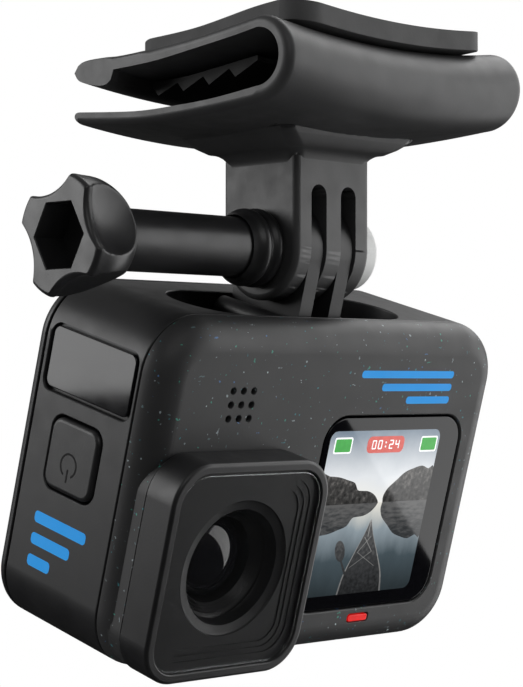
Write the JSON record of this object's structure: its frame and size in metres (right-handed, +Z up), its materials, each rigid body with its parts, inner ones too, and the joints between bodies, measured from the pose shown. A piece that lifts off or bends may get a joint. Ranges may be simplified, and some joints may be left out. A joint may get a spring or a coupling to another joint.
{
  "type": "action camera",
  "caption": "Small action camera with a square lens cover, front display and folding fingers, hung upside down by a thumbscrew from a cap-brim clip.",
  "frame": {"origin": "middle of the clip's brim slot", "axes": "+X from the thumb knob to the nut, +Y out of the slot's mouth (the lens looks towards -Y and 15.4 degrees down at rest), +Z up"},
  "size_m": [0.0837, 0.0525, 0.0932],
  "materials": {
    "clip_plastic": "satin black moulded plastic",
    "soft_rubber": "matte black rubber",
    "nut_cap": "pale satin cap",
    "steel": "plain steel",
    "shell_skin": "dark grey soft-touch skin with small pale, teal and blue flecks",
    "casing_plastic": "satin black plastic",
    "gloss_panel": "gloss black",
    "display_glass": "black display glass",
    "cover_glass": "clear coated glass",
    "lens_glass": "coated lens glass",
    "inner_black": "black plastic",
    "circuit_board": "green circuit board",
    "sensor": "iridescent sensor",
    "heat_sink": "bare aluminium",
    "battery_wrap": "blue wrap",
    "red_light": "red light pipe"
  },
  "bodies": {
    "clip": {"clip_body": "clip_plastic", "top_pad": "soft_rubber", "grip_teeth": "soft_rubber", "captive_nut": "nut_cap"},
    "collar": {"screw_collar": "clip_plastic"},
    "thumbscrew": {"thumb_knob": "clip_plastic", "screw_shaft": "steel"},
    "camera": {"front_shell": "shell_skin", "main_housing": "casing_plastic", "rear_cover": "casing_plastic", "rear_touchscreen": "display_glass", "rear_display": "inner_black", "front_display_glass": "display_glass", "front_display": "inner_black", "status_led": "red_light", "lens_barrel": "inner_black", "front_element": "lens_glass", "rear_lens_group": "lens_glass", "lens_holder": "inner_black", "image_sensor": "sensor", "sensor_board": "circuit_board", "speaker_cover": "gloss_panel", "speaker": "inner_black", "mode_switch": "inner_black", "shutter_switch": "inner_black", "door_hinge_pin": "steel", "mount_finger_left": "casing_plastic", "mount_finger_right": "casing_plastic", "finger_pin_left": "steel", "finger_pin_right": "steel", "battery": "battery_wrap", "memory_card": "inner_black", "usb_port": "steel", "main_board": "circuit_board", "heat_sink": "heat_sink", "front_microphone": "inner_black", "housing_screw_1": "steel", "housing_screw_2": "steel", "housing_screw_3": "steel", "housing_screw_4": "steel"},
    "lens_cover": {"lens_cover_frame": "casing_plastic", "lens_cover_glass": "cover_glass"},
    "mode_button": {"mode_button": "casing_plastic"},
    "shutter_button": {"shutter_button": "casing_plastic"},
    "battery_door": {"battery_door": "casing_plastic", "door_seal": "soft_rubber"},
    "door_latch": {"door_latch": "casing_plastic"}
  },
  "joints": [
    {"name": "camera_tilt", "type": "hinge", "parent": "clip", "child": "camera", "pos_m": [0, 0, -0.0195], "axis": [1, 0, 0], "range_deg": [-100, 60]},
    {"name": "thumbscrew_travel", "type": "slide", "parent": "clip", "child": "collar", "axis": [-1, 0, 0], "range_m": [0, 0.0024]},
    {"name": "thumbscrew_turn", "type": "hinge", "parent": "collar", "child": "thumbscrew", "pos_m": [-0.02, 0, -0.0195], "axis": [-1, 0, 0], "range_deg": [0, 1080.5]},
    {"name": "lens_cover_twist", "type": "hinge", "parent": "camera", "child": "lens_cover", "pos_m": [-0.0179, -0.00323, -0.06427], "axis": [0, -0.9641, -0.2656], "range_deg": [0, 45]},
    {"name": "mode_button_press", "type": "slide", "parent": "camera", "child": "mode_button", "axis": [1, 0, 0], "range_m": [0, 0.0005], "stiffness_N_per_m": 400},
    {"name": "shutter_button_press", "type": "slide", "parent": "camera", "child": "shutter_button", "axis": [0, -0.2656, 0.9641], "range_m": [0, 0.0006], "stiffness_N_per_m": 400},
    {"name": "battery_door_hinge", "type": "hinge", "parent": "camera", "child": "battery_door", "pos_m": [0.0356, 0.01621, -0.07043], "axis": [0, 0.9641, 0.2656], "range_deg": [0, 100]},
    {"name": "door_latch_slide", "type": "slide", "parent": "battery_door", "child": "door_latch", "axis": [0, -0.2656, 0.9641], "range_m": [0, 0.002]}
  ],
  "couplings": [
    {"joint": "thumbscrew_turn", "follows": "thumbscrew_travel", "rad_per_m": 7854.2}
  ]
}
